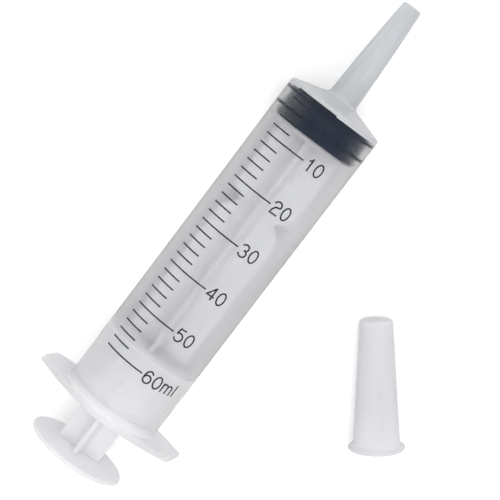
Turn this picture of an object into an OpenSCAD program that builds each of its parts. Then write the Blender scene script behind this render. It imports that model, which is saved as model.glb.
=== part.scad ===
// Syringe with a long tapered tip, lying on a level surface, its tip cap taken off beside it.
// X is the syringe's axis: the mouth of the tip is the origin and +X points out of it.
// The level surface is a plane below the axis, and one slanted side of the finger flange rests on it.

/* [Barrel] */
// Inside diameter of the barrel
bore_d = 28.8; // [24:0.2:36]
// Wall thickness of the barrel
barrel_wall = 1.2; // [0.9:0.1:1.6]
// Length of the printed scale, from the zero mark to the full mark
scale_l = 92.1; // [70:0.1:130]
// Distance from the shoulder back to the zero mark
zero_setback = 1.2; // [0.5:0.1:3]
// Distance from the full mark back to the rear face of the finger flange
tail_l = 18.9; // [16:0.1:30]
// Height of the shallow cone that closes the front of the barrel
dome_rise = 3.1; // [2:0.1:5]
// Wall thickness of that cone
dome_wall = 1.2; // [0.9:0.1:1.6]
// Radius of the round between the barrel and the cone
shoulder_round = 0.9; // [0.4:0.1:1.4]
// Height of the stop ring inside the rear of the barrel
stop_h = 0.7; // [0.5:0.1:1]
// Width of the stop ring at its foot
stop_w = 2.4; // [1.6:0.1:3.6]
// Distance from the rear face to the middle of the stop ring
stop_setback = 5.5; // [4:0.1:7]
// Width and depth of the lead-in chamfer at the rear mouth
mouth_chamfer = 0.6; // [0.3:0.1:0.9]

/* [Tip] */
// Length of the tip, from the cone to its mouth
tip_l = 33.4; // [20:0.1:45]
// Outside diameter of the tip at its mouth
tip_d = 5.9; // [5:0.1:7]
// Outside diameter of the tip where it meets the cone
tip_base_d = 9.3; // [7.6:0.1:12]
// How far the side of the tip swells past a straight taper, at half length
tip_swell = 0.2; // [0:0.05:0.4]
// Radius of the round at the mouth's outer edge
tip_edge_round = 0.45; // [0.2:0.05:0.8]
// Radius of the fillet between the tip and the cone
tip_fillet = 1.8; // [0.8:0.1:3]
// Diameter of the straight bore at the mouth
lumen_d = 3.4; // [2.4:0.1:4]
// Length of that straight bore
lumen_l = 8; // [5:0.5:14]
// Wall thickness at the base of the tip
tip_base_wall = 1.75; // [1.2:0.05:2.2]
// Radius of the round where the bore opens into the barrel
lumen_round = 0.8; // [0.3:0.1:1.2]

/* [Finger flange] */
// Length across the two wings
flange_span = 49.2; // [44:0.2:60]
// Angle of the slanted sides to the wings' own line
flange_slant = 24.5; // [18:0.5:28]
// How far the slanted sides stand out from the barrel
flange_side_lip = 0.8; // [0.7:0.1:2]
// How far the short middle sides stand out from the barrel
flange_mid_lip = 1; // [0.9:0.1:2]
// Thickness of the flange at the barrel
flange_t = 2; // [1.4:0.1:3]
// Thickness of the wings at their ends
flange_end_t = 1.3; // [0.8:0.1:1.4]
// Radius of the wings' end corners
flange_corner_r = 1.8; // [0.8:0.1:3]
// Radius of the rounds beside the short middle sides
flange_mid_r = 4; // [1:0.5:6]
// Radius of the fillet between the barrel and the flange
flange_fillet = 0.6; // [0.2:0.1:0.7]

/* [Gasket] */
// Length of the gasket without its cone
gasket_l = 9.4; // [8:0.1:13]
// Height of the cone on the gasket's front
gasket_cone = 1.4; // [0.6:0.1:1.8]
// Gap between the gasket's front edge and the barrel's cone when the plunger is home
gasket_home_gap = 0.4; // [0.3:0.1:1]
// Radial clearance of the sealing ribs in the bore
gasket_fit = 0.05; // [0.02:0.01:0.08]
// Height of the sealing ribs over the gasket's body
seal_h = 0.45; // [0.3:0.05:0.6]
// Width of each sealing rib
seal_w = 1.3; // [0.8:0.1:1.8]
// Distance from the front edge to the middle of the front sealing rib
seal_front = 1.1; // [0.9:0.1:1.5]
// Distance between the two sealing ribs
seal_pitch = 5.1; // [4:0.1:5.5]
// Thickness of rubber between the gasket's front edge and the socket inside
gasket_front_wall = 3; // [2:0.1:3.6]
// Chamfer at the gasket's front and rear edges
gasket_chamfer = 0.4; // [0.2:0.1:0.5]

/* [Plunger rod] */
// Turn of the rod in the barrel, with the picture side of its wide rib up
rod_roll = 16; // [0:1:45]
// Gap between the edges of the front ribs and the bore
rib_gap = 4; // [3:0.1:6]
// Thickness of the crossed ribs
rib_t = 1.5; // [1:0.1:2.2]
// Diameter of the core where the ribs cross
core_d = 3.4; // [2.6:0.1:5]
// How much narrower each side of the rear stem is than the front ribs
stem_step = 3.15; // [2:0.05:5]
// Gap between the rear face of the flange and the thumb rest, with the plunger home
thumb_gap = 15.3; // [12:0.1:22]
// Radial gap between the push disc behind the gasket and the bore
push_gap = 1.8; // [1.2:0.1:3]
// Thickness of the push disc
push_t = 1.5; // [1:0.1:2.2]
// Radial gap between the guide disc and the stop ring
guide_gap = 0.3; // [0.2:0.05:0.6]
// Thickness of the guide disc
guide_t = 1.4; // [1:0.1:2]
// Distance from the rear face of the flange forward to the guide disc
guide_setback = 24.2; // [14:0.1:30]
// Diameter of the snap head inside the gasket
head_d = 16.4; // [14:0.1:18]
// Diameter of the neck behind the head
neck_d = 11.6; // [9:0.1:13]
// Thickness of the snap head
head_t = 2.8; // [2.2:0.1:3.4]
// Clearance between the head or neck and the gasket's socket
head_fit = 0.12; // [0.05:0.01:0.2]
// Radius of the fillet under the push and guide discs
disc_fillet = 0.8; // [0.4:0.1:1.2]

/* [Break notches] */
// Distance from the gasket's rear face back to the notches' points
notch_at = 26.9; // [18:0.1:40]
// Depth of the notches
notch_depth = 4.2; // [2:0.1:5]
// Length of the steep front flank
notch_front_l = 2.6; // [1.5:0.1:4]
// Length of the long rear flank
notch_rear_l = 4.6; // [3:0.1:7]

/* [Thumb rest] */
// Diameter of the thumb rest
thumb_d = 31.5; // [26:0.5:38]
// Thickness of the thumb rest at its rim
thumb_t = 1.2; // [0.9:0.1:2]
// Extra thickness of the thumb rest at its middle
thumb_crown = 0.5; // [0:0.1:1]
// Radius of the round on the rim's edges
thumb_edge_round = 0.5; // [0.2:0.05:0.5]
// Depth of the grip grooves in the rear face
groove_depth = 0.35; // [0.2:0.05:0.5]
// Width of the grip grooves
groove_w = 0.9; // [0.5:0.1:1.2]
// Distance between the grip grooves
groove_pitch = 2.6; // [1.8:0.1:3]
// Number of grip grooves
groove_count = 4; // [2:1:5]
// Diameter of the innermost grip groove
groove_inner_d = 9.2; // [6:0.2:12]

/* [Tip cap] */
// Length of the cap
cap_l = 41.5; // [38:0.5:55]
// Outside diameter of the cap's body at the rim
cap_base_d = 14.8; // [13:0.1:20]
// Outside diameter of the cap's closed end
cap_end_d = 10.3; // [9:0.1:12]
// Wall thickness of the cap's side
cap_wall = 0.9; // [0.7:0.1:1.2]
// Thickness of the cap's closed end
cap_end_wall = 1; // [0.8:0.1:1.6]
// Outside diameter of the rim
cap_rim_d = 17.9; // [17:0.1:24]
// Thickness of the rim
cap_rim_t = 1.5; // [1:0.1:2]
// Radius of the round at the closed end
cap_end_round = 1; // [0.4:0.1:1.2]
// Radius of the fillet between the rim and the body
cap_fillet = 0.6; // [0.3:0.1:0.9]
// Thickness of the grip ribs inside the cap
cap_rib_t = 0.8; // [0.6:0.1:1.2]
// Clearance between the grip ribs and the tip when the cap is on
cap_grip_gap = 0.08; // [0.05:0.01:0.2]
// Depth from the rim to the start of the grip ribs
cap_rib_setback = 2.5; // [2:0.1:5]
// Length of the grip ribs
cap_rib_l = 22; // [12:0.5:26]
// Where the middle of the cap's mouth lies, behind the mouth of the tip
cap_back = 113.7; // [100:0.1:130]
// Where it lies, to the side of the syringe's axis
cap_side = 78.9; // [70:0.1:110]
// Turn of the cap on the surface, away from the syringe's axis
cap_turn = 37.5; // [0:0.5:60]

/* [Hidden] */
$fn = 96;
// Steps in each round of a profile, and in the swell of the tip
ROUND_STEPS = 6;
SWELL_STEPS = 10;
CAP_RIBS = 4;
// One overrun for every cut, and one bite where fused pieces run into each other
over = 1;
bite = 0.4;

bore_r = bore_d / 2;
barrel_r = bore_r + barrel_wall;
tip_r = tip_d / 2;
tip_base_r = tip_base_d / 2;
lumen_r = lumen_d / 2;
lumen_base_r = tip_base_r - tip_base_wall;

// Places along the axis, from the tip's mouth back
cone_x = -tip_l;
shoulder_x = cone_x - dome_rise;
zero_x = shoulder_x - zero_setback;
full_x = zero_x - scale_l;
rear_x = full_x - tail_l;
flange_front_x = rear_x + flange_t;
cone_angle = atan(dome_rise / (barrel_r - tip_base_r));
dome_inner_x = shoulder_x + barrel_wall * tan(cone_angle) - dome_wall / cos(cone_angle);
gasket_front_x = dome_inner_x - gasket_home_gap;
gasket_rear_x = gasket_front_x - gasket_l;
thumb_front_x = rear_x - thumb_gap;
thumb_rear_x = thumb_front_x - thumb_t;
guide_front_x = rear_x + guide_setback;

// Radii of the plunger's pieces
seal_r = bore_r - gasket_fit;
gasket_r = seal_r - seal_h;
stop_r = bore_r - stop_h;
guide_r = stop_r - guide_gap;
push_r = bore_r - push_gap;
rib_half = bore_r - rib_gap;
stem_half = rib_half - stem_step;
head_r = head_d / 2;
neck_r = neck_d / 2;
thumb_r = thumb_d / 2;

// The flange's slanted sides and short middle sides, from the axis
flange_side = barrel_r + flange_side_lip;
flange_mid = barrel_r + flange_mid_lip;
floor_z = -flange_side;

// The cap's rim and closed end, and the tilt at which both rest on the surface
cap_rim_r = cap_rim_d / 2;
cap_base_r = cap_base_d / 2;
cap_end_r = cap_end_d / 2;
cap_rim_round = cap_rim_t / 2;
cap_run = cap_l - cap_end_round - cap_rim_round;
cap_lean = atan((cap_base_r - cap_end_r) / (cap_l - cap_rim_t));
cap_end_in = cap_end_r - cap_end_round * (1 - sin(cap_lean)) / cos(cap_lean);
cap_drop = cap_rim_r - cap_rim_round - cap_end_in;
cap_reach = norm([cap_run, cap_drop]);
cap_tilt = atan(cap_drop / cap_run) + asin((cap_rim_round - cap_end_round) / cap_reach);

function unit(v) = v / norm(v);

// Points of the round of radius r that blends the corner b between the points a and c
function round_at(a, b, c, r, steps = ROUND_STEPS) =
    let (to_a = unit(a - b))
    let (to_c = unit(c - b))
    let (half = acos(to_a * to_c) / 2)
    let (middle = b + unit(to_a + to_c) * r / sin(half))
    let (start = b + to_a * r / tan(half) - middle)
    let (end = b + to_c * r / tan(half) - middle)
    let (from = atan2(start.y, start.x))
    let (turn = (atan2(end.y, end.x) - from + 540) % 360 - 180)
    [for (i = [0 : steps]) middle + r * [cos(from + turn * i / steps), sin(from + turn * i / steps)]];

// Radius of the tip's outside at a share of its length from the mouth
function tip_radius(share) =
    tip_r + (tip_base_r - tip_r) * share + 4 * tip_swell * share * (1 - share);

// A rounded sealing rib: the radius follows a half wave over the rib's width
function seal(x) =
    [for (i = [-4 : 4]) [gasket_r + seal_h * cos(90 * i / 4), x - seal_w / 2 * i / 4]];

// Turns a profile of [radius, place on the axis] points into a solid about X
module turned(points) {
    rotate([0, 90, 0]) rotate_extrude() polygon(points);
}

// Corners of the flange: wings along the second axis, rounds at each corner
function flange_corners() =
    let (end = flange_span / 2)
    let (end_v = (flange_side - end * sin(flange_slant)) / cos(flange_slant))
    let (mid_w = (flange_side - flange_mid * cos(flange_slant)) / sin(flange_slant))
    [[flange_mid, mid_w], [end_v, end], [-end_v, end], [-flange_mid, mid_w],
     [-flange_mid, -mid_w], [-end_v, -end], [end_v, -end], [flange_mid, -mid_w]];

function flange_rounds() =
    let (p = flange_corners())
    let (r = [flange_mid_r, flange_corner_r, flange_corner_r, flange_mid_r])
    [for (i = [0 : 7]) each round_at(p[(i + 7) % 8], p[i], p[(i + 1) % 8], r[i % 4])];

module flange() {
    wing_end = flange_span / 2 + over;
    slope = (flange_t - flange_end_t) / (flange_span / 2 - barrel_r);
    wing_rise = slope * (wing_end - barrel_r);
    rotate([-flange_slant, 0, 0]) intersection() {
        translate([rear_x, 0, 0]) rotate([0, 90, 0])
            linear_extrude(height = flange_t) polygon(flange_rounds());
        // The wings grow thinner from behind, towards their ends
        rotate([0, 0, 90]) linear_extrude(height = 4 * flange_mid, center = true)
            polygon([[-wing_end, -flange_front_x], [wing_end, -flange_front_x],
                     [wing_end, -rear_x - wing_rise], [barrel_r, -rear_x],
                     [-barrel_r, -rear_x], [-wing_end, -rear_x - wing_rise]]);
    }
}

module barrel_outside() {
    mouth_share = tip_edge_round / tip_l;
    fillet_run = tip_fillet / tan((90 + cone_angle) / 2);
    root_share = 1 - fillet_run / tip_l;
    shares = [for (i = [0 : SWELL_STEPS]) mouth_share + (root_share - mouth_share) * i / SWELL_STEPS];
    side = [for (s = shares) [tip_radius(s), -tip_l * s]];
    turned(concat(
        [[0, 0]],
        round_at([0, 0], [tip_r, 0], side[1], tip_edge_round),
        [for (i = [1 : SWELL_STEPS - 1]) side[i]],
        round_at(side[SWELL_STEPS - 1], [tip_base_r, cone_x], [barrel_r, shoulder_x], tip_fillet),
        round_at([tip_base_r, cone_x], [barrel_r, shoulder_x], [barrel_r, rear_x], shoulder_round),
        [[barrel_r, rear_x], [0, rear_x]]
    ));
}

module barrel_inside() {
    lumen_base_x = dome_inner_x + (bore_r - lumen_base_r) * tan(cone_angle);
    stop_x = rear_x + stop_setback;
    stop_flat = stop_w / 6;
    turned(concat(
        [[0, over], [lumen_r, over], [lumen_r, -lumen_l]],
        round_at([lumen_r, -lumen_l], [lumen_base_r, lumen_base_x], [bore_r, dome_inner_x], lumen_round),
        [[bore_r, dome_inner_x],
         [bore_r, stop_x + stop_w / 2],
         [stop_r, stop_x + stop_flat],
         [stop_r, stop_x - stop_flat],
         [bore_r, stop_x - stop_w / 2],
         [bore_r, rear_x + mouth_chamfer],
         [bore_r + mouth_chamfer, rear_x],
         [bore_r + mouth_chamfer, rear_x - over],
         [0, rear_x - over]]
    ));
}

// Fillet ring that blends the barrel into the front of the flange
module flange_root() {
    inner = barrel_r - barrel_wall / 2;
    turned(concat(
        [[inner, flange_front_x - flange_t / 2], [barrel_r + flange_fillet, flange_front_x - flange_t / 2]],
        round_at([barrel_r + 2 * flange_fillet, flange_front_x], [barrel_r, flange_front_x],
                 [barrel_r, shoulder_x], flange_fillet),
        [[inner, flange_front_x + flange_fillet]]
    ));
}

// One moulding: tip, cone, tube, stop ring and finger flange
module barrel() {
    color([0.86, 0.87, 0.89]) difference() {
        union() {
            barrel_outside();
            flange();
            flange_root();
        }
        barrel_inside();
    }
}

// Rubber piston: two sealing ribs outside, and a socket with an undercut for the rod's head
module gasket() {
    socket_front_x = gasket_front_x - gasket_front_wall;
    socket_rear_x = socket_front_x - head_t - head_fit;
    socket_r = head_r + head_fit;
    throat_r = neck_r + head_fit;
    color([0.19, 0.21, 0.27]) turned(concat(
        [[0, gasket_front_x + gasket_cone],
         [gasket_r - gasket_chamfer, gasket_front_x],
         [gasket_r, gasket_front_x - gasket_chamfer]],
        seal(gasket_front_x - seal_front),
        seal(gasket_front_x - seal_front - seal_pitch),
        [[gasket_r, gasket_rear_x + gasket_chamfer],
         [gasket_r - gasket_chamfer, gasket_rear_x],
         [throat_r, gasket_rear_x],
         [throat_r, socket_rear_x],
         [socket_r, socket_rear_x],
         [socket_r, socket_rear_x + (head_t + head_fit) / 2],
         [neck_r, socket_front_x],
         [0, socket_front_x]]
    ));
}

// Snap head, neck and push disc: what carries the gasket
module rod_head() {
    head_front_x = gasket_front_x - gasket_front_wall - head_fit;
    head_rear_x = head_front_x - head_t + head_fit;
    push_front_x = gasket_rear_x - gasket_fit;
    turned([[0, head_front_x],
            [neck_r - head_fit, head_front_x],
            [head_r, head_front_x - head_t / 2],
            [head_r, head_rear_x],
            [neck_r, head_rear_x],
            [neck_r, push_front_x],
            [push_r, push_front_x],
            [push_r, push_front_x - push_t],
            [core_d / 2 + disc_fillet, push_front_x - push_t],
            [core_d / 2, push_front_x - push_t - disc_fillet],
            [0, push_front_x - push_t - disc_fillet]]);
}

// Guide disc inside the rear of the barrel, with a fillet to the core on each side
module guide_disc() {
    fillet_r = core_d / 2 + disc_fillet;
    turned([[0, guide_front_x + disc_fillet],
            [core_d / 2, guide_front_x + disc_fillet],
            [fillet_r, guide_front_x],
            [guide_r, guide_front_x],
            [guide_r, guide_front_x - guide_t],
            [fillet_r, guide_front_x - guide_t],
            [core_d / 2, guide_front_x - guide_t - disc_fillet],
            [0, guide_front_x - guide_t - disc_fillet]]);
}

// A flat rib along the axis, between two places on it
module rib(front_x, end_x, half) {
    translate([end_x, -half, -rib_t / 2]) cube([front_x - end_x, 2 * half, rib_t]);
}

// The V notches: a steep front flank and a long rear one, cut through the wide rib's edges
module break_notches() {
    point_x = gasket_rear_x - notch_at;
    reach = over / notch_depth;
    for (side = [-1, 1])
        translate([0, 0, -rib_t]) linear_extrude(height = 2 * rib_t)
            polygon([[point_x, side * (rib_half - notch_depth)],
                     [point_x + notch_front_l * (1 + reach), side * (rib_half + over)],
                     [point_x - notch_rear_l * (1 + reach), side * (rib_half + over)]]);
}

// Round disc with a crowned front, and grip grooves and a gate dimple in its rear face
module thumb_rest() {
    crown_x = thumb_front_x + thumb_crown;
    groove_half = groove_w / 2;
    groove_x = thumb_rear_x + groove_depth;
    groove_r = [for (i = [0 : groove_count - 1]) groove_inner_d / 2 + i * groove_pitch];
    dimple_r = groove_inner_d / 2 - groove_pitch;
    turned(concat(
        [[0, crown_x], [stem_half, crown_x]],
        round_at([stem_half, crown_x], [thumb_r, thumb_front_x], [thumb_r, thumb_rear_x], thumb_edge_round),
        round_at([thumb_r, thumb_front_x], [thumb_r, thumb_rear_x], [0, thumb_rear_x], thumb_edge_round),
        [for (i = [groove_count - 1 : -1 : 0]) each
            [[groove_r[i] + groove_half, thumb_rear_x],
             [groove_r[i] + groove_half / 2, groove_x],
             [groove_r[i] - groove_half / 2, groove_x],
             [groove_r[i] - groove_half, thumb_rear_x]]],
        [[dimple_r, thumb_rear_x], [dimple_r - groove_half, groove_x], [0, groove_x]]
    ));
}

// One moulding: snap head, push disc, crossed ribs with break notches, guide disc, stem, thumb rest
module plunger_rod() {
    push_mid_x = gasket_rear_x - gasket_fit - push_t / 2;
    guide_mid_x = guide_front_x - guide_t / 2;
    thumb_mid_x = thumb_front_x - thumb_t / 2;
    color([0.88, 0.88, 0.9]) union() {
        rod_head();
        guide_disc();
        thumb_rest();
        turned([[0, push_mid_x], [core_d / 2, push_mid_x], [core_d / 2, thumb_mid_x], [0, thumb_mid_x]]);
        rotate([-rod_roll, 0, 0]) {
            difference() {
                rib(push_mid_x, guide_mid_x, rib_half);
                break_notches();
            }
            rib(guide_mid_x, thumb_mid_x, stem_half);
            rotate([90, 0, 0]) {
                rib(push_mid_x, guide_mid_x, rib_half);
                rib(guide_mid_x, thumb_mid_x, stem_half);
            }
        }
    }
}

// The cap stands on its mouth here, with its closed end up
module cap_upright() {
    slope = (cap_base_r - cap_end_r) / (cap_l - cap_rim_t);
    inner_base_r = cap_base_r - cap_wall;
    inner_end_r = cap_end_r - cap_wall;
    ceiling = cap_l - cap_end_wall;
    rim_in = cap_rim_r - cap_rim_round;
    difference() {
        rotate_extrude() polygon(concat(
            [[0, 0], [rim_in, 0]],
            [for (i = [-ROUND_STEPS : ROUND_STEPS]) let (a = 90 * i / ROUND_STEPS)
                [rim_in + cap_rim_round * cos(a), cap_rim_round * (1 + sin(a))]],
            round_at([cap_rim_r, cap_rim_t], [cap_base_r, cap_rim_t], [cap_end_r, cap_l], cap_fillet),
            round_at([cap_base_r, cap_rim_t], [cap_end_r, cap_l], [0, cap_l], cap_end_round),
            [[0, cap_l]]
        ));
        difference() {
            rotate_extrude() polygon(concat(
                [[0, -over], [inner_base_r + slope * over, -over]],
                round_at([inner_base_r, 0], [inner_end_r, ceiling], [0, ceiling], cap_end_round / 2),
                [[0, ceiling]]
            ));
            cap_ribs(inner_base_r);
        }
    }
}

// Four ribs inside the cap. Their inner edges follow the tip that they grip
module cap_ribs(outer_r) {
    rib_end = cap_rib_setback + cap_rib_l;
    steps = SWELL_STEPS;
    function grip_r(depth) = tip_radius(min(1, max(0, 1 - (depth - cap_rib_setback) / tip_l))) + cap_grip_gap;
    for (i = [0 : CAP_RIBS - 1])
        rotate([90, 0, 360 * i / CAP_RIBS])
            translate([0, 0, -cap_rib_t / 2]) linear_extrude(height = cap_rib_t)
                polygon(concat(
                    [[outer_r + bite, rib_end], [outer_r + bite, cap_rib_setback - bite]],
                    [for (k = [0 : steps]) let (depth = cap_rib_setback + cap_rib_l * k / steps)
                        [grip_r(depth), depth]]
                ));
}

// The cap lies on its side, its rim and its closed end on the surface
module tip_cap() {
    mouth_z = floor_z + (cap_rim_r - cap_rim_round) * cos(cap_tilt)
        + cap_rim_round * (1 + sin(cap_tilt));
    color([0.88, 0.88, 0.91])
        translate([-cap_back, -cap_side, mouth_z])
            rotate([0, 0, cap_turn]) rotate([0, 90 + cap_tilt, 0]) cap_upright();
}

barrel();
plunger_rod();
gasket();
tip_cap();
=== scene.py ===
"""A large plastic syringe with a long tapered tip, its tip cap beside it.

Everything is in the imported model's own frame: X is the syringe's axis and points out of the tip, whose mouth is the
origin, and Z is up. The sizes of pieces are in millimetres, and surface() turns them into metres when it makes a mesh.
Places in materials and those of the table, the lamps and the camera are in metres.
"""
import math

import bmesh
import bpy
import numpy as np
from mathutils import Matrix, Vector


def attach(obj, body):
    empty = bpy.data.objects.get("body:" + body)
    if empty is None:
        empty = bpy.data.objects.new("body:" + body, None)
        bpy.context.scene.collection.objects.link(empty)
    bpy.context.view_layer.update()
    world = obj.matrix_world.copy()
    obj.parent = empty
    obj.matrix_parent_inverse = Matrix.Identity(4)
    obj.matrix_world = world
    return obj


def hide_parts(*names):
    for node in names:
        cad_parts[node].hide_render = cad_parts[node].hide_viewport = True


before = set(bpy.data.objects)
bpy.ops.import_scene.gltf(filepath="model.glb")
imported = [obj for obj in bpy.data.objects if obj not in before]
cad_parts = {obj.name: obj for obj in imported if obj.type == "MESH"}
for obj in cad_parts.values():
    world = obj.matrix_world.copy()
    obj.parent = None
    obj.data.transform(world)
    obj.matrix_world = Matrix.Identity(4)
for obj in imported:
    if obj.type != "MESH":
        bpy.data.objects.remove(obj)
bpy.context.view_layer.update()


# The surface it lies on, the light and the camera: a white table in a white room. The syringe lies on one slanted side
# of its flange, which is FLANGE_SIDE away from its axis, so the table is that far below. The camera stands where the
# photograph was taken from, almost straight above.

FLANGE_SIDE = 16.4
TABLE_Z = -FLANGE_SIDE - 0.01


def principled(name, **sockets):
    """A material of one Principled shader, with these of its sockets set. Returns the material, its nodes, links and
    shader."""
    material = bpy.data.materials.new(name)
    material.use_nodes = True
    nodes, links = material.node_tree.nodes, material.node_tree.links
    shader = nodes["Principled BSDF"]
    for socket, value in sockets.items():
        shader.inputs[socket.replace("_", " ")].default_value = value
    return material, nodes, links, shader


def graded(nodes, links, value, start, end, low, high, smooth=False):
    """An output that is low where the value is at start and high where it is at end, straight between them or smooth,
    and level beyond."""
    grade = nodes.new("ShaderNodeMapRange")
    grade.interpolation_type = "SMOOTHSTEP" if smooth else "LINEAR"
    for socket, number in zip(("From Min", "From Max", "To Min", "To Max"), (start, end, low, high)):
        grade.inputs[socket].default_value = number
    links.new(value, grade.inputs["Value"])
    return grade.outputs["Result"]


def combined(nodes, links, operation, first, second=None):
    """The output of a Math node of two values. The second is an output or a plain number, or is left out."""
    node = nodes.new("ShaderNodeMath")
    node.operation = operation
    links.new(first, node.inputs[0])
    if isinstance(second, (int, float)):
        node.inputs[1].default_value = second
    elif second:
        links.new(second, node.inputs[1])
    return node.outputs[0]


def object_place(nodes):
    """The piece's own coordinates, in metres."""
    return nodes.new("ShaderNodeTexCoord").outputs["Object"]


def table_top():
    """A flat square at the height of the table. Its paint is white to the camera and still takes a soft shadow: it
    gives back most of the light that falls on it, and a little glow makes up the rest of white, more of it where the
    lamps no longer reach."""
    half, z = 2.0, TABLE_Z / 1000
    mesh = bpy.data.meshes.new("table_top")
    mesh.from_pydata([(-half, -half, z), (half, -half, z), (half, half, z), (-half, half, z)], [], [(0, 1, 2, 3)])
    top = bpy.data.objects.new("table_top", mesh)
    bpy.context.scene.collection.objects.link(top)
    material, nodes, links, shader = principled("table_paint", Base_Color=(0.8, 0.8, 0.8, 1), Roughness=0.9,
                                                Specular_IOR_Level=0.0, Emission_Color=(1, 1, 1, 1))
    away = nodes.new("ShaderNodeVectorMath")
    away.operation = "LENGTH"
    links.new(object_place(nodes), away.inputs[0])
    rest_of_white = graded(nodes, links, away.outputs["Value"], 0.3, 1.0, 0.26, 0.8)
    seen = nodes.new("ShaderNodeLightPath").outputs["Is Camera Ray"]
    links.new(combined(nodes, links, "MULTIPLY", seen, rest_of_white), shader.inputs["Emission Strength"])
    mesh.materials.append(material)


def room_light():
    """An even white room whose ceiling is dimmer than its walls, so that what faces the camera isn't veiled by its
    reflection. The camera sees it as pure white."""
    world = bpy.data.worlds.new("white_room")
    bpy.context.scene.world = world
    world.use_nodes = True
    nodes, links = world.node_tree.nodes, world.node_tree.links
    room = nodes["Background"]
    room.inputs["Color"].default_value = (1, 1, 1, 1)
    way = nodes.new("ShaderNodeTexCoord")
    parts = nodes.new("ShaderNodeSeparateXYZ")
    links.new(way.outputs["Generated"], parts.inputs["Vector"])
    wall_to_ceiling = graded(nodes, links, parts.outputs["Z"], 0.1, 0.8, 0.85, 0.31, smooth=True)
    level = nodes.new("ShaderNodeMix")
    level.data_type = "FLOAT"
    level.inputs["B"].default_value = 1.0
    links.new(nodes.new("ShaderNodeLightPath").outputs["Is Camera Ray"], level.inputs["Factor"])
    links.new(wall_to_ceiling, level.inputs["A"])
    links.new(level.outputs["Result"], room.inputs["Strength"])


def soft_box(name, place, size, power, mirrored=True):
    """A square lamp of this size in metres and power in watts at a place, facing the middle of the syringe. One that
    isn't mirrored lights surfaces but isn't seen in their gloss or through clear plastic."""
    middle_of_syringe = Vector((-0.08, -0.01, 0))
    lamp = bpy.data.lights.new(name, "AREA")
    lamp.shape, lamp.size, lamp.energy = "SQUARE", size, power
    box = bpy.data.objects.new(name, lamp)
    box.location = place
    box.rotation_euler = (middle_of_syringe - Vector(place)).to_track_quat("-Z", "Y").to_euler()
    box.visible_glossy = box.visible_transmission = mirrored
    bpy.context.scene.collection.objects.link(box)


table_top()
room_light()
soft_box("soft_box_tip_end", (0.75, 0.1, 0.8), 0.9, 2.6)
soft_box("soft_box_thumb_end", (-0.95, -0.2, 0.8), 0.9, 2.2)
soft_box("soft_box_above", (-0.06, 0.13, 1.0), 0.8, 6.8, mirrored=False)

camera = bpy.data.objects.new("camera", bpy.data.cameras.new("camera"))
camera.data.sensor_width, camera.data.lens = 36.0, 107.53
camera.data.clip_start, camera.data.clip_end = 0.01, 10.0
camera.location = (-0.02935, 0.10545, 0.42292)
camera.rotation_euler = [math.radians(a) for a in (-14.5728, -7.3516, -52.7378)]
bpy.context.scene.collection.objects.link(camera)
bpy.context.scene.camera = camera
bpy.context.scene.view_settings.view_transform = "Standard"


# Barrel: one clear polypropylene moulding, a tube closed by a shallow cone, the long tapered tip with its bore, and
# the lozenge-shaped finger flange. A low ring inside the rear mouth stops the plunger from being pulled out. In front
# of CLEAR_FROM_X, at the shoulder, and behind FROST_X, at the plunger's guide disc, the plastic is cloudy.

BORE_R, BARREL_R = 14.4, 15.6
TIP_LENGTH, TIP_R, TIP_ROOT_R, LUMEN_R = 33.4, 2.95, 4.65, 1.7
SHOULDER_X, DOME_INNER_X, FLANGE_FRONT_X, REAR_X = -36.5, -37.407, -146.7, -148.7
CLEAR_FROM_X, FROST_X = -37.85, -125.2
WING_TURN = math.radians(-24.5)


def surface(name, *grids):
    """One mesh of grids of points in millimetres: quads between neighbouring points of each, with its second direction
    closed on itself. Points that meet, as at a pole, are merged, and edges that turn by a wide angle stay crisp."""
    meeting, wide_angle = 2e-6, math.radians(30)
    points, faces, used = [], [], 0
    for grid in grids:
        rows, columns = grid.shape[:2]
        i, j = np.arange(rows - 1)[:, None], np.arange(columns)[None, :]
        k = (j + 1) % columns
        quads = np.stack([i * columns + j, i * columns + k, (i + 1) * columns + k, (i + 1) * columns + j], -1)
        points.append(grid.reshape(-1, 3) / 1000)
        faces.append(quads.reshape(-1, 4) + used)
        used += rows * columns
    mesh = bpy.data.meshes.new(name)
    mesh.from_pydata(np.concatenate(points).tolist(), [], np.concatenate(faces).tolist())
    work = bmesh.new()
    work.from_mesh(mesh)
    bmesh.ops.remove_doubles(work, verts=work.verts, dist=meeting)
    bmesh.ops.recalc_face_normals(work, faces=work.faces)
    work.to_mesh(mesh)
    work.free()
    mesh.shade_smooth()
    mesh.set_sharp_from_angle(angle=wide_angle)
    piece = bpy.data.objects.new(name, mesh)
    bpy.context.scene.collection.objects.link(piece)
    return piece


def face_table(piece, what):
    """The "center" or the "normal" of every face, a row each."""
    values = np.empty(len(piece.data.polygons) * 3)
    piece.data.polygons.foreach_get(what, values)
    return values.reshape(-1, 3)


def arc(a, b, c, r, steps=6):
    """Points of the round of radius r that blends the corner b between the points a and c: its middle lies on the
    bisector, r over the sine of the half angle away, and it is walked from one tangent point to the other."""
    a, b, c = (np.asarray(p, float) for p in (a, b, c))
    to_a, to_c = (a - b) / np.linalg.norm(a - b), (c - b) / np.linalg.norm(c - b)
    half = np.arccos(np.clip(to_a @ to_c, -1, 1)) / 2
    middle = b + (to_a + to_c) / np.linalg.norm(to_a + to_c) * r / np.sin(half)
    start, end = b + to_a * r / np.tan(half) - middle, b + to_c * r / np.tan(half) - middle
    turn_from = np.arctan2(start[1], start[0])
    turn = (np.arctan2(end[1], end[0]) - turn_from + 3 * np.pi) % (2 * np.pi) - np.pi
    angle = turn_from + turn * np.linspace(0, 1, steps + 1)
    return middle + r * np.stack([np.cos(angle), np.sin(angle)], -1)


def with_rounds(corners, radii, steps):
    """A closed outline: each corner of the polygon becomes the round of its own radius."""
    count = len(corners)
    return np.concatenate([arc(corners[i - 1], corners[i], corners[(i + 1) % count], radii[i], steps)
                           for i in range(count)])


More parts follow.
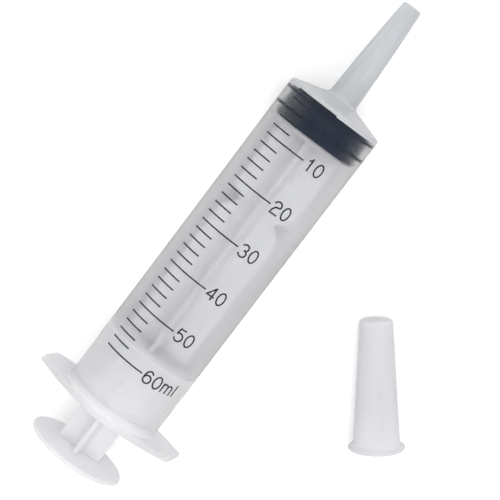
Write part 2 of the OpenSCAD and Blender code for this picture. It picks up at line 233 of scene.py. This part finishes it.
def held(profile, guard=0.25):
    """The same profile with points added: one at guard from each end of a straight run, so that smooth shading stays
    flat there, and more between them, a step apart or less."""
    step, out = 4.0, [profile[:1]]
    for p, q in zip(profile[:-1], profile[1:]):
        run = np.linalg.norm(q - p)
        if run > 3 * guard:
            inner = np.linspace(guard / run, 1 - guard / run, int(run / step) + 2)
            out.append(p + (q - p) * inner[:, None])
        out.append(q[None])
    return np.concatenate(out)


def flange_outline():
    """The lozenge as polar points about the axis. In the wings' own directions its corners are the wing ends and the
    short middle sides; rounds blend them, and the closed line is walked at an even spacing."""
    side, middle, end, slant = FLANGE_SIDE, 16.6, 24.6, -WING_TURN
    end_v = (side - end * math.sin(slant)) / math.cos(slant)
    middle_w = (side - middle * math.cos(slant)) / math.sin(slant)
    corners = [(middle_w, middle), (end, end_v), (end, -end_v), (middle_w, -middle),
               (-middle_w, -middle), (-end, -end_v), (-end, end_v), (-middle_w, middle)]
    middle_round, end_round, spacing = 4, 1.8, 0.42
    line = with_rounds([np.array(c) for c in corners[::-1]], [middle_round, end_round, end_round, middle_round] * 2,
                       steps=24)
    line = np.concatenate([line, line[:1]])
    along = np.concatenate([[0], np.cumsum(np.linalg.norm(np.diff(line, axis=0), axis=1))])
    at = np.linspace(0, along[-1], int(along[-1] / spacing), endpoint=False)
    w, v = np.interp(at, along, line[:, 0]), np.interp(at, along, line[:, 1])
    return np.arctan2(v, w), np.hypot(w, v)


def tip_radius(share):
    """Radius of the tip's outside at a share of its length: a straight taper from the mouth to the root, plus a
    parabola that swells it by 0.2 mm at half length."""
    return TIP_R + (TIP_ROOT_R - TIP_R) * share + 4 * 0.2 * share * (1 - share)


def barrel():
    """Every angle round the axis has the same profile of (place on the axis, radius), but at the flange, where the
    face runs out to the lozenge's own radius at that angle, round its edge and back in. The wings grow thinner from
    behind, in proportion to the distance along them."""
    angle, reach = flange_outline()
    mouth_round, root_round, shoulder_round = 0.45, 1.8, 0.9
    share = np.linspace(mouth_round / TIP_LENGTH, 0.955, 14)
    tip = np.stack([-TIP_LENGTH * share, tip_radius(share)], -1)
    tip_root, shoulder = (-TIP_LENGTH, TIP_ROOT_R), (SHOULDER_X, BARREL_R)
    outside = held(np.concatenate([
        arc((0, 0), (0, TIP_R), tip[1], mouth_round), tip[1:-1],
        arc(tip[-2], tip_root, shoulder, root_round, 8), arc(tip_root, shoulder, (REAR_X, BARREL_R), shoulder_round, 8),
        [(CLEAR_FROM_X, BARREL_R), (FROST_X, BARREL_R), (FLANGE_FRONT_X + 1.2, BARREL_R)]]))
    bevel, stop_x, stop_r = 0.6, REAR_X + 5.5, 13.7
    funnel, dome, lumen = (-34.225, 2.9), (DOME_INNER_X, BORE_R), (-8, LUMEN_R)
    inside = held(np.concatenate([
        [(REAR_X, BORE_R + bevel), (REAR_X + bevel, BORE_R)],
        [(stop_x - 1.2, BORE_R), (stop_x - 0.55, stop_r + 0.08), (stop_x - 0.3, stop_r), (stop_x + 0.3, stop_r),
         (stop_x + 0.55, stop_r + 0.08), (stop_x + 1.2, BORE_R)],
        [(FROST_X, BORE_R), (CLEAR_FROM_X, BORE_R)], arc((stop_x, BORE_R), dome, funnel, 0.5, 4),
        arc(dome, funnel, lumen, 0.8), [lumen], arc(lumen, (0, LUMEN_R), (0, TIP_R), 0.15, 3)]))
    edge = 0.35
    root = np.minimum(0.6, 0.9 * (reach - edge - BARREL_R))
    quarter = np.linspace(0, np.pi / 2, 6)[:, None]

    def rear_at(radius):
        thinner, over = 0.7, 9.0
        return REAR_X + thinner / over * np.maximum(0, np.abs(radius * np.cos(angle)) - BARREL_R)

    spread = np.linspace(0.06, 0.96, 8)[:, None]
    face_r = BARREL_R + root + (reach - edge - BARREL_R - root) * spread
    back_r = reach - edge + (BORE_R + bevel - reach + edge) * np.linspace(0.03, 0.98, 10)[:, None]
    places = [outside[:, :1] + 0 * angle, FLANGE_FRONT_X + root * (1 - np.sin(quarter)), FLANGE_FRONT_X + 0 * face_r,
              FLANGE_FRONT_X - edge * (1 - np.cos(quarter)) + 0 * angle, rear_at(reach) + edge * (1 - np.sin(quarter)),
              rear_at(back_r), inside[:, :1] + 0 * angle]
    radii = [outside[:, 1:] + 0 * angle, BARREL_R + root * (1 - np.cos(quarter)), face_r,
             reach - edge * (1 - np.sin(quarter)), reach - edge * (1 - np.cos(quarter)),
             back_r, inside[:, 1:] + 0 * angle]
    x, r = np.concatenate(places), np.concatenate(radii)
    turned = angle + WING_TURN
    grid = np.stack([x, r * np.cos(turned), r * np.sin(turned)], -1)
    return surface("barrel_shell", np.concatenate([grid, grid[:1]]))


def plastic_flow():
    """A group for moulded plastic: slow cloudiness and the faint drag lines that the melt leaves along the part. Haze
    is a mask of the clouds, Lines a finer mask drawn out along X."""
    group = bpy.data.node_groups.new("plastic_flow", "ShaderNodeTree")
    for label, kind, way in (("Cloud Scale", "NodeSocketFloat", "INPUT"), ("Line Scale", "NodeSocketFloat", "INPUT"),
                             ("Haze", "NodeSocketFloat", "OUTPUT"), ("Lines", "NodeSocketFloat", "OUTPUT")):
        group.interface.new_socket(name=label, in_out=way, socket_type=kind)
    nodes, links = group.nodes, group.links
    given, result = nodes.new("NodeGroupInput"), nodes.new("NodeGroupOutput")
    place = object_place(nodes)
    drawn = nodes.new("ShaderNodeMapping")
    drawn.inputs["Scale"].default_value = (0.06, 1, 1)
    links.new(place, drawn.inputs["Vector"])
    for mask, scale, detail, where in (("Haze", "Cloud Scale", 3.0, place),
                                       ("Lines", "Line Scale", 4.0, drawn.outputs["Vector"])):
        noise = nodes.new("ShaderNodeTexNoise")
        noise.inputs["Detail"].default_value = detail
        links.new(where, noise.inputs["Vector"])
        links.new(given.outputs[scale], noise.inputs["Scale"])
        links.new(noise.outputs["Fac"], result.inputs[mask])
    return group


FLOW = plastic_flow()


def flow_node(nodes, clouds, lines):
    """The moulded plastic's group, placed in a material with its own scales."""
    flow = nodes.new("ShaderNodeGroup")
    flow.node_tree = FLOW
    flow.inputs["Cloud Scale"].default_value = clouds
    flow.inputs["Line Scale"].default_value = lines
    return flow


def between(nodes, links, mask, low, high, socket):
    """Feeds a socket with low where the mask is 0.3 and high where it is 0.7, colours or numbers."""
    start, end = 0.3, 0.7
    if isinstance(low, tuple):
        ramp = nodes.new("ShaderNodeValToRGB")
        for stop, position, colour in zip(ramp.color_ramp.elements, (start, end), (low, high)):
            stop.position, stop.color = position, (*colour, 1)
        links.new(mask, ramp.inputs["Fac"])
        links.new(ramp.outputs["Color"], socket)
    else:
        links.new(graded(nodes, links, mask, start, end, low, high), socket)


def ripple(nodes, links, mask, shader, distance):
    """A Bump from a mask to the shader's normal, as high as distance in metres."""
    bump = nodes.new("ShaderNodeBump")
    bump.inputs["Distance"].default_value = distance
    links.new(mask, bump.inputs["Height"])
    links.new(bump.outputs["Normal"], shader.inputs["Normal"])


def let_light_by(nodes, links, shader, colour):
    """The plastic as light on its way to a lamp meets it: a tint, with no bending, so that what lies inside and under
    the piece is lit."""
    clear = nodes.new("ShaderNodeBsdfTransparent")
    clear.inputs["Color"].default_value = (*colour, 1)
    ray = nodes.new("ShaderNodeLightPath").outputs
    mix = nodes.new("ShaderNodeMixShader")
    links.new(combined(nodes, links, "MAXIMUM", ray["Is Shadow Ray"], ray["Is Diffuse Ray"]), mix.inputs["Fac"])
    links.new(shader.outputs["BSDF"], mix.inputs[1])
    links.new(clear.outputs["BSDF"], mix.inputs[2])
    links.new(mix.outputs["Shader"], nodes["Material Output"].inputs["Surface"])


def clear_plastic():
    """The tube's wall: polypropylene, refracting, a little grey. Its outside has the mould's fine frost; the bore,
    where the gasket runs, is polished. The radius halfway through the wall tells them apart."""
    material, nodes, links, shader = principled("clear_polypropylene", Transmission_Weight=1.0, IOR=1.38)
    flow = flow_node(nodes, 45, 700)
    between(nodes, links, flow.outputs["Haze"], (0.84, 0.843, 0.85), (0.862, 0.866, 0.872), shader.inputs["Base Color"])
    across = nodes.new("ShaderNodeVectorMath")
    across.operation = "MULTIPLY"
    across.inputs[1].default_value = (0, 1, 1)
    links.new(object_place(nodes), across.inputs[0])
    radius = nodes.new("ShaderNodeVectorMath")
    radius.operation = "LENGTH"
    links.new(across.outputs["Vector"], radius.inputs[0])
    polished, frosted, mid_wall = 0.05, 0.277, (BORE_R + BARREL_R) / 2000
    roughness = graded(nodes, links, radius.outputs["Value"], mid_wall - 0.0001, mid_wall + 0.0001, polished, frosted)
    links.new(roughness, shader.inputs["Roughness"])
    let_light_by(nodes, links, shader, (0.975, 0.976, 0.98))
    return material


def multiplied(nodes, links, factor=None):
    """A node that multiplies two colours, wholly or as far as factor says. Returns its two inputs and its output, which
    share their names with others on it and so are taken by number."""
    product = nodes.new("ShaderNodeMix")
    product.data_type, product.blend_type = "RGBA", "MULTIPLY"
    product.inputs["Factor"].default_value = 1.0
    if factor:
        links.new(factor, product.inputs["Factor"])
    return product.inputs[6], product.inputs[7], product.outputs[2]


def cloudy_plastic(name, light_through, greys, flow_and_sheen_streaks, frost=0.3):
    """The same polypropylene where part of the light is scattered in it. greys lists places on the axis, in metres,
    with the plastic's tint there. The streak argument says how far streaks drawn along the part lighten and darken the
    tint: flow lines, and where they are strong, as on the tip, a painted sheen too. They fade in between a tenth and a
    quarter of the way from the first place to the last. frost is its least roughness."""
    material, nodes, links, shader = principled(
        name, Transmission_Weight=light_through, IOR=1.49, Specular_IOR_Level=0.4)
    along = nodes.new("ShaderNodeSeparateXYZ")
    links.new(object_place(nodes), along.inputs["Vector"])
    first, last = greys[0][0], greys[-1][0]
    share = graded(nodes, links, along.outputs["X"], first, last, 0, 1)
    tint = nodes.new("ShaderNodeValToRGB")
    stops = tint.color_ramp.elements
    stops[0].color, stops[1].color = (*greys[0][1], 1), (*greys[-1][1], 1)
    for where, grey in greys[1:-1]:
        stops.new((where - first) / (last - first)).color = (*grey, 1)
    links.new(share, tint.inputs["Fac"])
    flow = flow_node(nodes, 110, 500)
    plain, streak, streaky = multiplied(nodes, links, graded(nodes, links, share, 0.1, 0.25, 0, flow_and_sheen_streaks))
    links.new(tint.outputs["Color"], plain)
    between(nodes, links, flow.outputs["Lines"], (0.82, 0.82, 0.82), (1.22, 1.22, 1.22), streak)
    links.new(streaky, shader.inputs["Base Color"])
    between(nodes, links, flow.outputs["Haze"], frost, frost + 0.1, shader.inputs["Roughness"])
    let_light_by(nodes, links, shader, (0.86, 0.865, 0.875))
    return material


shell = barrel()
flange_root = (FLANGE_FRONT_X + 0.7) / 1000
plastics = {
    "clear": clear_plastic(),
    # On the tip, the strong light streaks in the tint are partly a painted sheen.
    "tip": cloudy_plastic("tip_polypropylene", 0.22, [
        (CLEAR_FROM_X / 1000, (0.6, 0.61, 0.625)), (-0.028, (0.535, 0.56, 0.585)), (0, (0.58, 0.605, 0.63))], 0.5,
        frost=0.13),
    "flange": cloudy_plastic("flange_polypropylene", 0.56, [
        (REAR_X / 1000, (0.955, 0.955, 0.965)), (flange_root, (0.955, 0.955, 0.965))], 0.08, frost=0.5),
    "tube end": cloudy_plastic("tube_end_polypropylene", 0.84, [
        (flange_root, (0.96, 0.96, 0.965)), (-0.14, (0.985, 0.985, 0.99)),
        (FROST_X / 1000, (0.985, 0.985, 0.99))], 0.04),
    # The flange's outer edge takes a greyer copy of the flange's plastic: a painted shade over the edge that the lamps
    # make bright.
    "shaded flange edge": cloudy_plastic("flange_edge_painted_shade", 0.56, [
        (REAR_X / 1000, (0.84, 0.84, 0.85)), (flange_root, (0.84, 0.84, 0.85))], 0.08, frost=0.5)}
for plastic in plastics.values():
    shell.data.materials.append(plastic)
x, faces_outwards = face_table(shell, "center")[:, 0] * 1000, np.abs(face_table(shell, "normal")[:, 0]) < 0.5
shell.data.polygons.foreach_set("material_index", np.select(
    [x > CLEAR_FROM_X, (x < FLANGE_FRONT_X) & faces_outwards, x < FLANGE_FRONT_X + 0.6, x < FROST_X],
    [list(plastics).index(part) for part in ("tip", "shaded flange edge", "flange", "tube end")]))
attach(shell, "barrel")
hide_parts("barrel")


# Printed scale: black ink screened on the barrel. A line every 2 ml from 0 to 60 ml, a long one every 10 ml, each of
# these but the first with its number, and the unit after the last. Lines and numbers start and end at angles in
# degrees round the barrel from the print's middle.

ZERO_X, ML = -37.7, 1.535
INK_R, INK_THICK = 15.622, 0.03
FIGURE_H, STROKE, LINE_STROKE = 4.4, 0.48, 0.44
PRINT_TURN, LINE_START, SHORT_END, LONG_END, NUMBER_START = 14.0, -49, -21.8, 5.4, 8.5


def ink_stroke(path, width):
    """A thin slab of ink laid along a path of (distance round the barrel, place on its axis). Its section is a flat
    ring of four corners, set off to each side of the path by half the width, more at a bend by one over the cosine of
    half the turn but no more than 1 / 0.6, then wrapped round the barrel and closed at both ends."""
    path = np.asarray(path, float)
    step = np.diff(path, axis=0)
    step /= np.linalg.norm(step, axis=1)[:, None]
    before, after = np.concatenate([step[:1], step]), np.concatenate([step, step[-1:]])
    mean = before + after
    mean /= np.linalg.norm(mean, axis=1)[:, None]
    cosine = np.maximum(0.6, np.sum(mean * after, axis=1))
    aside = np.stack([-mean[:, 1], mean[:, 0]], -1) * (width / 2 / cosine)[:, None]
    side, radius = np.array([-1, -1, 1, 1]), INK_R - INK_THICK * np.array([1, 0, 0, 1])
    at = path[:, None] + aside[:, None] * side[:, None]
    angle = np.radians(PRINT_TURN) - at[..., 0] / BARREL_R
    body = np.stack([at[..., 1], radius * np.sin(angle), radius * np.cos(angle)], -1)
    ends = [np.repeat(body[k].mean(axis=0)[None, None], 4, axis=1) for k in (0, -1)]
    return np.concatenate([ends[0], body, ends[1]])


def round_barrel(degrees):
    """How far round the barrel an angle from the print's middle is."""
    return math.radians(degrees) * BARREL_R


def bow(x, y, rx, ry, start, end):
    """An arc of an ellipse about (x, y), walked from one angle to the other. A whole ring overlaps itself a little, so
    that no gap shows where it closes."""
    turn = np.radians(np.linspace(start, end, max(4, int(abs(end - start) / 9))))
    return np.stack([x + rx * np.cos(turn), y + ry * np.sin(turn)], -1)


def glyph(figure):
    """The middle lines of a plain upright figure or letter, in a box 2.6 wide and 4 high."""
    join = np.concatenate
    return {
        "0": [bow(1.3, 2, 1.2, 2, 86, 454)],
        "1": [[(1.6, 0), (1.6, 4.2)], bow(0.5, 4.15, 1.15, 1.1, -85, -12)],
        "2": [join([bow(1.3, 2.85, 1.15, 1.15, 175, -25), bow(3.2, -0.1, 3.05, 3.05, 132, 172)]), [(0, 0), (2.6, 0)]],
        "3": [join([bow(1.25, 2.98, 1.02, 1.02, 165, -60), [(1.2, 2.1)]]), bow(1.28, 1.08, 1.2, 1.1, 95, -168)],
        "4": [[(1.95, 0), (1.95, 4.2)], [(1.95, 4.05), (0.1, 1.2)], [(-0.05, 1.2), (2.7, 1.2)]],
        "5": [[(2.4, 4), (0.65, 4), (0.32, 2.1)], bow(1.25, 1.32, 1.25, 1.32, 140, -160)],
        "6": [bow(1.35, 1.27, 1.2, 1.27, 86, 454), bow(1.4, 2, 1.25, 2, 40, 200)],
        "m": [[(0.1, 0), (0.1, 3.1)], join([bow(0.95, 2.1, 0.85, 0.85, 175, 0), [(1.8, 0)]]),
              join([bow(2.65, 2.1, 0.85, 0.85, 175, 0), [(3.5, 0)]])],
        "l": [[(0.3, 0), (0.3, 4.2)]],
    }[figure]


def printed_word(word, at_ml):
    """The strokes of a word whose letters follow each other round the barrel, their feet towards its rear. The middle
    of their height is level with the line that they name."""
    strokes, pen, feet = [], round_barrel(NUMBER_START), ZERO_X - ML * at_ml - FIGURE_H / 2 + STROKE / 2
    for figure in word:
        for path in glyph(figure):
            strokes.append(ink_stroke(np.asarray(path) * (FIGURE_H - STROKE) / 4 + (pen, feet), STROKE))
        pen += {"m": 4.6, "l": 1.4}.get(figure, 3.42)
    return strokes


def scale_line(ml):
    """The stroke of one line of the scale, a long one where ml is a multiple of 10."""
    start, end = round_barrel(LINE_START), round_barrel(LONG_END if ml % 10 == 0 else SHORT_END)
    return ink_stroke([(along, ZERO_X - ML * ml) for along in np.linspace(start, end, 24)], LINE_STROKE)


def grain(nodes, links, scale, detail=2):
    """The mask of a fine noise."""
    noise = nodes.new("ShaderNodeTexNoise")
    noise.inputs["Scale"].default_value, noise.inputs["Detail"].default_value = scale, detail
    links.new(object_place(nodes), noise.inputs["Vector"])
    return noise.outputs["Fac"]


def ink():
    """Matt black screen ink, a little thinner in places."""
    material, nodes, links, shader = principled("scale_ink")
    speck = grain(nodes, links, 900)
    between(nodes, links, speck, (0.008, 0.008, 0.01), (0.02, 0.02, 0.026), shader.inputs["Base Color"])
    between(nodes, links, speck, 0.42, 0.6, shader.inputs["Roughness"])
    return material


black_ink, full = ink(), 60
lines = [scale_line(ml) for ml in range(0, full + 1, 2)]
numbers = [stroke for ml in range(10, full + 1, 10)
           for stroke in printed_word(f"{ml}ml" if ml == full else f"{ml}", ml)]
for print_piece in (surface("scale_lines", *lines), surface("scale_numbers", *numbers)):
    print_piece.data.materials.append(black_ink)
    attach(print_piece, "barrel")


# Plunger rod: one milky polypropylene moulding. Snap head, push disc, crossed ribs with a pair of break notches in the
# wide rib, guide disc, narrower stem and round thumb rest. It is turned a little in the barrel.

ROLL = math.radians(-16)
PUSH_X, GUIDE_X, THUMB_X = -47.257, -124.5, -164.0


def spun(profile, count=160):
    """The surface that a profile of (place on X, radius) sweeps when it turns once round the X axis."""
    turn = np.linspace(0, 2 * np.pi, count, endpoint=False)
    x, r = profile[:, :1], profile[:, 1:]
    return np.stack([x + 0 * turn, r * np.cos(turn), r * np.sin(turn)], -1)


def crossed_ribs():
    """A cross-shaped section carried along the axis. Each of its four arms ends at a half width that is a function of
    the place: constant along the ribs, cut by the V of the notch in the wide pair, and smaller along the stem. Of an
    arm's points, those of its rounded end move with the half width, and the ones at the round core stay."""
    half, stem, thick, soft, core_r, foot, root = 10.4, 7.25, 0.75, 0.22, 1.85, 1.75, 2.6
    notch_x, notch_deep, long_flank, steep_flank = -74.107, 4.2, 4.6, 2.6
    stem_end, rib_start = GUIDE_X - 0.9, GUIDE_X - 0.7
    corner = notch_x + np.array([-long_flank, 0, steep_flank])
    wide_x = [-165, stem_end, rib_start, *corner, -40]
    wide_half = [stem, stem, half, half, half - notch_deep, half, half]
    x = np.unique(np.concatenate([
        np.linspace(-164.3, stem_end, 8), np.linspace(rib_start, PUSH_X - 0.6, 24),
        corner, corner - 0.12, corner + 0.12]))
    quarter = np.linspace(0, np.pi / 2, 5)
    core_turn = np.radians([30, 45, 60])
    fixed = np.concatenate([[foot, root], -soft + soft * np.sin(quarter), -soft + soft * np.cos(quarter), [root, foot]])
    across = np.concatenate([[-thick, -thick], -thick + soft * (1 - np.cos(quarter)),
                             thick - soft * (1 - np.sin(quarter)), [thick, thick]])
    moves = np.concatenate([[0, 0], np.ones(10), [0, 0]])
    loops = []
    for arm in range(4):
        tip = np.interp(x, wide_x, wide_half) if arm % 2 == 0 else np.where(x < (stem_end + rib_start) / 2, stem, half)
        out = fixed + moves * tip[:, None]
        turn = ROLL + arm * np.pi / 2
        core = core_r + 0 * out[:, :3]
        y = np.concatenate([out * np.cos(turn) - across * np.sin(turn), core * np.cos(turn + core_turn)], 1)
        z = np.concatenate([out * np.sin(turn) + across * np.cos(turn), core * np.sin(turn + core_turn)], 1)
        loops.append(np.stack([x[:, None] + 0 * y, y, z], -1))
    grid = np.concatenate(loops, axis=1)
    axis = np.zeros_like(grid[:1])
    return np.concatenate([axis + [x[0], 0, 0], grid, axis + [x[-1], 0, 0]])


def disc(front, thick, r):
    """A round plate on the core, its rim softened, with a small round to the core on each side."""
    rear, core, fillet, soft = front - thick, 1.7, 0.8, 0.2
    return spun(held(np.concatenate([
        [(front + fillet, 0)], arc((front + fillet + 1, core), (front, core), (front, r), fillet),
        arc((front, core), (front, r), (rear, r), soft, 3), arc((front, r), (rear, r), (rear, core), soft, 3),
        arc((rear, r), (rear, core), (rear - fillet - 1, core), fillet), [(rear - fillet, 0)]]), guard=0.2))


def snap_head():
    """The mushroom head that the gasket is pressed over, on its neck in front of the push disc."""
    front, under, neck_r, head_r = -40.927, -43.707, 5.8, 8.2
    return spun(held(np.array([
        (front, 0), (front, 5.6), (-42.4, head_r - 0.1), (-42.55, head_r), (-43.6, head_r), (under, head_r - 0.1),
        (under, neck_r), (PUSH_X - 0.143, neck_r), (PUSH_X - 0.143, 0)], float), guard=0.1))


def thumb_rest():
    """A thin round plate, crowned a little in front. Its rear face has four shallow ring grooves and a gate dimple."""
    rear, crown, crown_r, rim_r, rim_round, deep = -165.2, -163.5, 7.2, 15.75, 0.5, 0.35
    ring = 4.6 + 2.6 * np.arange(4)[::-1, None]
    groove_r = (ring + np.array([0.45, 0.32, 0.2, 0, -0.2, -0.32, -0.45])).ravel()
    groove_x = rear + np.tile([0, 0.1, 0.3, deep, 0.3, 0.1, 0], 4)
    return spun(held(np.concatenate([
        [(crown, 0), (crown, crown_r)], arc((crown, crown_r), (THUMB_X, rim_r), (rear, rim_r), rim_round),
        arc((THUMB_X, rim_r), (rear, rim_r), (rear, 0), rim_round), np.stack([groove_x, groove_r], -1),
        [(rear, 2.0), (rear + 0.3, 1.6), (rear + deep, 1.4), (rear + deep, 0)]]), guard=0.12), count=192)


def milky_plastic(name, colour, light_through, clouds, spread, painted_shade_from=None):
    """Milky polypropylene: light spreads through its thin walls, so part of what falls on one side leaves the other,
    and its skin has a soft gloss. Where a height in metres is given, what lies in front of the guide disc and further
    than that above or below the axis gets a painted shade, a shade greyer, that dims rib edges lit bright from above."""
    material, nodes, links, shader = principled(
        name, IOR=1.49, Specular_IOR_Level=0.3, Subsurface_Weight=0.6, Subsurface_Scale=spread,
        Subsurface_Radius=(1, 1, 1))
    flow = flow_node(nodes, clouds, 500)
    low, high = tuple(0.975 * c for c in colour), tuple(1.02 * c for c in colour)
    if painted_shade_from:
        parts = nodes.new("ShaderNodeSeparateXYZ")
        links.new(object_place(nodes), parts.inputs["Vector"])
        on_ribs = combined(nodes, links, "GREATER_THAN", parts.outputs["X"], (GUIDE_X + 0.9) / 1000)
        height = combined(nodes, links, "ABSOLUTE", parts.outputs["Z"])
        rib_height = combined(nodes, links, "MULTIPLY", on_ribs, height)
        cloudy, thin, shade = multiplied(nodes, links)
        between(nodes, links, flow.outputs["Haze"], low, high, cloudy)
        # Painted shade: the rib edges beyond the given height are multiplied down to 0.87, against the light from
        # above.
        links.new(graded(nodes, links, rib_height, painted_shade_from, painted_shade_from + 0.001, 1.0, 0.87), thin)
        links.new(shade, shader.inputs["Base Color"])
    else:
        between(nodes, links, flow.outputs["Haze"], low, high, shader.inputs["Base Color"])
    between(nodes, links, flow.outputs["Lines"], 0.32, 0.44, shader.inputs["Roughness"])
    ripple(nodes, links, flow.outputs["Lines"], shader, 0.00002)
    through = nodes.new("ShaderNodeBsdfTranslucent")
    through.inputs["Color"].default_value = (*colour, 1)
    mix = nodes.new("ShaderNodeMixShader")
    mix.inputs["Fac"].default_value = light_through
    links.new(shader.outputs["BSDF"], mix.inputs[1])
    links.new(through.outputs["BSDF"], mix.inputs[2])
    links.new(mix.outputs["Shader"], nodes["Material Output"].inputs["Surface"])
    return material


rod = surface("rod", snap_head(), disc(PUSH_X, 1.5, 12.6), crossed_ribs(), disc(GUIDE_X, 1.4, 13.4), thumb_rest())
# The rod's rib edges more than 8.2 mm above or below the axis get a painted shade.
rod.data.materials.append(milky_plastic(
    "milky_polypropylene", (0.955, 0.955, 0.97), light_through=0.42, clouds=60, spread=0.004, painted_shade_from=0.0082))
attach(rod, "plunger")
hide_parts("plunger_rod")


# Gasket: a blue-black rubber piston snapped over the rod's head. Its two sealing ribs are squeezed against the bore,
# so they are seen through the wall right out to the barrel's edges, and the rest of it, which stands clear, is not.


def gasket():
    """The spun profile: a shallow cone, then a body that swells by half a wave at each sealing rib, cut off flat where
    the rib is pressed against the bore, and a socket with an undercut behind."""
    apex, front, rear, body = -36.407, -37.807, -47.207, 13.9
    pressed_r = BORE_R + 0.02
    socket_end, undercut, neck_r, head_r = -40.807, -43.727, 5.92, 8.32
    wave = np.linspace(-1, 1, 17)

    def seal(x):
        return np.stack([x - 0.65 * wave, np.minimum(body + 0.9 * np.cos(wave * np.pi / 2), pressed_r)], -1)

    return surface("gasket_rubber", spun(held(np.concatenate([
        [(apex, 0)], arc((apex, 0), (front, 13.5), (front - 0.4, body), 0.3, 3),
        [(front - 0.4, body)], seal(front - 1.1), seal(front - 6.2),
        arc((front - 7, body), (rear, body), (rear, 6), 0.4),
        [(rear, neck_r), (undercut, neck_r), (undercut, head_r), (-42.267, head_r), (socket_end, 5.8),
         (socket_end, 0)]]), guard=0.15), count=192))


def rubber():
    """Moulded rubber: dark, dull, with a fine grain and a trace of silicone oil."""
    material, nodes, links, shader = principled("gasket_rubber", Specular_IOR_Level=0.25)
    pores = grain(nodes, links, 600, 5)
    between(nodes, links, pores, (0.004, 0.012, 0.03), (0.007, 0.016, 0.04), shader.inputs["Base Color"])
    between(nodes, links, pores, 0.4, 0.6, shader.inputs["Roughness"])
    ripple(nodes, links, pores, shader, 0.000006)
    return material


piston = gasket()
piston.data.materials.append(rubber())
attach(piston, "plunger")
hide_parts("gasket")


# Tip cap: a milky polypropylene thimble that grips the tip with four ribs inside. It is taken off, and lies on the
# table on its rim and the edge of its closed end.

CAP_TILT, CAP_TURN = math.radians(5.381), math.radians(37.5)
CAP_MOUTH = np.array([-113.7, -78.9, -7.416])
CAP_LENGTH, CAP_R, CAP_END_R, RIM_R, RIM_H = 41.5, 7.4, 5.15, 8.95, 1.5


def laid_down(upright):
    """Points of the cap standing on its mouth, tipped over on its side, turned on the table and moved to its place."""
    tip, turn = math.pi / 2 + CAP_TILT, CAP_TURN
    over = np.array([[math.cos(tip), 0, math.sin(tip)], [0, 1, 0], [-math.sin(tip), 0, math.cos(tip)]])
    round_z = np.array([[math.cos(turn), -math.sin(turn), 0], [math.sin(turn), math.cos(turn), 0], [0, 0, 1]])
    return upright @ (round_z @ over).T + CAP_MOUTH


def cap_shell():
    """The profile of (height, radius) spun about the cap's own axis: half-round rim, tapered wall, closed end, and the
    same again inside, a wall's thickness in."""
    rim_round, mouth_r, inner_end, inner_end_r = 0.74, 6.5, CAP_LENGTH - 1, 4.25
    rim_foot, closed_end = (RIM_H, CAP_R), (CAP_LENGTH, CAP_END_R)
    outside = np.concatenate([
        [(0, mouth_r + 0.1)], arc((0, 6), (0, RIM_R), (RIM_H, RIM_R), rim_round, 6),
        arc((0, RIM_R), (RIM_H, RIM_R), rim_foot, rim_round, 6), arc((RIM_H, 8.9), rim_foot, closed_end, 0.6),
        arc(rim_foot, closed_end, (CAP_LENGTH, 0), 1.0, 8), [(CAP_LENGTH, 0)]])
    inside = np.concatenate([
        [(inner_end, 0)], arc((inner_end, 0), (inner_end, inner_end_r), (0, mouth_r), 0.5),
        [(0.1, mouth_r - 0.006), (0, mouth_r + 0.1)]])
    profile = held(np.concatenate([outside, inside]), guard=0.2)
    turn = np.linspace(0, 2 * np.pi, 160, endpoint=False)
    z, r = profile[:, :1], profile[:, 1:]
    return laid_down(np.stack([r * np.cos(turn), r * np.sin(turn), z + 0 * turn], -1))


def cap_rib(number):
    """A thin fin inside the wall: a rectangle across, from the wall to the outline of the tip that it grips, carried
    down the cap's axis."""
    start, end, clear, wall_r, narrowing = 2.5, 24.5, 0.08, 6.7, 0.056
    depth = np.linspace(start, end, 12)[:, None]
    inner = tip_radius(np.clip(1 - (depth - start) / TIP_LENGTH, 0, 1)) + clear
    outer = wall_r - narrowing * depth
    side = 0.4 * np.array([-1, -1, 1, 1])
    out = np.concatenate([inner, outer, outer, inner], axis=1)
    turn = number * math.pi / 2
    grid = np.stack([out * math.cos(turn) - side * math.sin(turn), out * math.sin(turn) + side * math.cos(turn),
                     depth + 0 * out], -1)
    ends = [np.repeat(grid[k].mean(axis=0)[None, None], 4, axis=1) for k in (0, -1)]
    return laid_down(np.concatenate([ends[0], grid, ends[1]]))


cap = surface("tip_cap_shell", cap_shell(), *[cap_rib(number) for number in range(4)])
# The rim's faces take a greyer copy of the cap's plastic: a painted shade over the rim that the lamps make bright.
for plastic, colour in (("cap_polypropylene", (0.955, 0.948, 0.98)), ("cap_rim_painted_shade", (0.79, 0.785, 0.82))):
    cap.data.materials.append(milky_plastic(plastic, colour, light_through=0.3, clouds=90, spread=0.006))
cap_axis = laid_down(np.array([[0, 0, 1.0]]))[0] - CAP_MOUTH
from_mouth = (face_table(cap, "center") * 1000 - CAP_MOUTH) @ cap_axis
cap.data.polygons.foreach_set("material_index", (from_mouth < RIM_H - 0.05).astype(int))
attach(cap, "tip_cap")
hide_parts("tip_cap")
